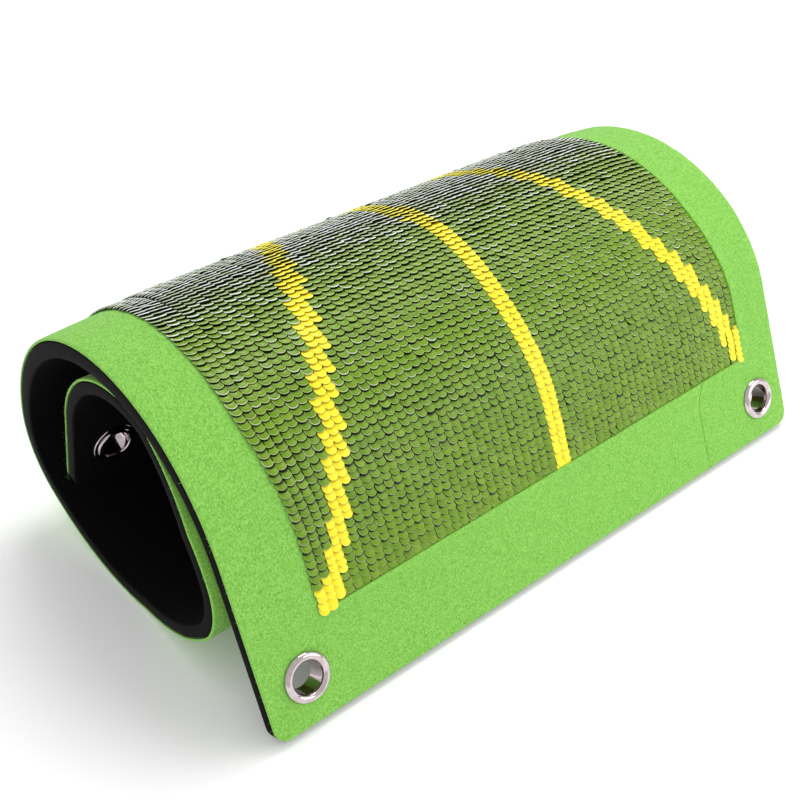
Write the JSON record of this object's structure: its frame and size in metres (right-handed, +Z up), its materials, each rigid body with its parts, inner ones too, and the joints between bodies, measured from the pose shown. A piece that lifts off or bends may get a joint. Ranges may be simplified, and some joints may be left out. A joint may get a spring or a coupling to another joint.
{
  "type": "rolled practice swing mat",
  "caption": "Rolled practice mat for golf swings: a brushable sequin panel with three guide lines in a felt frame on a foam base, with metal eyelets at its corners. It unrolls flat.",
  "frame": {"origin": "middle of the footprint of the rolled mat, on the surface that it stands on", "axes": "+X across the mat, along the axis of the roll; -Y towards the hanging flap; +Z up"},
  "size_m": [0.31, 0.184, 0.1184],
  "materials": {
    "foam": "matt closed-cell foam rubber",
    "sequins": "semi-gloss film discs, olive green with yellow lines",
    "ground_cloth": "matt woven cloth",
    "felt": "matt needled felt",
    "nickel": "polished nickel plate"
  },
  "bodies": {
    "band_01": {"foam_band_01": "foam", "sequin_rows_01": "sequins", "front_left_eyelet": "nickel", "front_left_washer": "nickel", "front_right_eyelet": "nickel", "front_right_washer": "nickel"},
    "band_02": {"foam_band_02": "foam", "sequin_rows_02": "sequins"},
    "band_03": {"foam_band_03": "foam", "sequin_rows_03": "sequins"},
    "band_04": {"foam_band_04": "foam", "sequin_rows_04": "sequins"},
    "band_05": {"foam_band_05": "foam", "sequin_rows_05": "sequins"},
    "band_06": {"foam_band_06": "foam", "sequin_rows_06": "sequins"},
    "band_07": {"foam_band_07": "foam", "sequin_rows_07": "sequins", "felt_left_and_front": "felt", "felt_right_and_rear": "felt", "sequin_ground_cloth": "ground_cloth"},
    "band_08": {"foam_band_08": "foam", "sequin_rows_08": "sequins"},
    "band_09": {"foam_band_09": "foam", "sequin_rows_09": "sequins"},
    "band_10": {"foam_band_10": "foam", "sequin_rows_10": "sequins"},
    "band_11": {"foam_band_11": "foam", "sequin_rows_11": "sequins"},
    "band_12": {"foam_band_12": "foam", "sequin_rows_12": "sequins"},
    "band_13": {"foam_band_13": "foam", "inner_left_eyelet": "nickel", "inner_left_washer": "nickel", "inner_right_eyelet": "nickel", "inner_right_washer": "nickel"}
  },
  "joints": [
    {"name": "unroll", "type": "hinge", "parent": "band_07", "child": "band_08", "pos_m": [0, -0.02613, 0.00988], "axis": [1, 0, 0], "range_deg": [0, 34.94], "deforming": ["felt_left_and_front", "felt_right_and_rear", "sequin_ground_cloth"]},
    {"name": "bend_08_09", "type": "hinge", "parent": "band_08", "child": "band_09", "pos_m": [0, -0.05491, 0.03066], "axis": [1, 0, 0], "range_deg": [0, 51.81]},
    {"name": "bend_09_10", "type": "hinge", "parent": "band_09", "child": "band_10", "pos_m": [0, -0.05704, 0.06453], "axis": [1, 0, 0], "range_deg": [0, 50.21]},
    {"name": "bend_10_11", "type": "hinge", "parent": "band_10", "child": "band_11", "pos_m": [0, -0.01292, 0.10575], "axis": [1, 0, 0], "range_deg": [0, 47.76]},
    {"name": "bend_11_12", "type": "hinge", "parent": "band_11", "child": "band_12", "pos_m": [0, 0.02762, 0.10242], "axis": [1, 0, 0], "range_deg": [0, 47.01]},
    {"name": "bend_12_13", "type": "hinge", "parent": "band_12", "child": "band_13", "pos_m": [0, 0.05282, 0.0705], "axis": [1, 0, 0], "range_deg": [0, 23.51]},
    {"name": "bend_06_07", "type": "hinge", "parent": "band_07", "child": "band_06", "pos_m": [0, 0.06294, 0.00988], "axis": [-1, 0, 0], "range_deg": [0, 54]},
    {"name": "bend_05_06", "type": "hinge", "parent": "band_06", "child": "band_05", "pos_m": [0, 0.09137, 0.05293], "axis": [-1, 0, 0], "range_deg": [0, 66]},
    {"name": "bend_04_05", "type": "hinge", "parent": "band_05", "child": "band_04", "pos_m": [0, 0.06569, 0.09742], "axis": [-1, 0, 0], "range_deg": [0, 36.38]},
    {"name": "bend_03_04", "type": "hinge", "parent": "band_04", "child": "band_03", "pos_m": [0, 0.01863, 0.11802], "axis": [-1, 0, 0], "range_deg": [0, 36.38]},
    {"name": "bend_02_03", "type": "hinge", "parent": "band_03", "child": "band_02", "pos_m": [0, -0.03148, 0.1067], "axis": [-1, 0, 0], "range_deg": [0, 36.38]},
    {"name": "bend_01_02", "type": "hinge", "parent": "band_02", "child": "band_01", "pos_m": [0, -0.06511, 0.06786], "axis": [-1, 0, 0], "range_deg": [0, 18.2]}
  ],
  "couplings": [
    {"joint": "bend_08_09", "follows": "unroll", "ratio": 1.4824},
    {"joint": "bend_09_10", "follows": "unroll", "ratio": 1.4366},
    {"joint": "bend_10_11", "follows": "unroll", "ratio": 1.3664},
    {"joint": "bend_11_12", "follows": "unroll", "ratio": 1.345},
    {"joint": "bend_12_13", "follows": "unroll", "ratio": 0.67249},
    {"joint": "bend_06_07", "follows": "unroll", "ratio": 1.5451},
    {"joint": "bend_05_06", "follows": "unroll", "ratio": 1.8885},
    {"joint": "bend_04_05", "follows": "unroll", "ratio": 1.0409},
    {"joint": "bend_03_04", "follows": "unroll", "ratio": 1.0409},
    {"joint": "bend_02_03", "follows": "unroll", "ratio": 1.0409},
    {"joint": "bend_01_02", "follows": "unroll", "ratio": 0.52047}
  ]
}
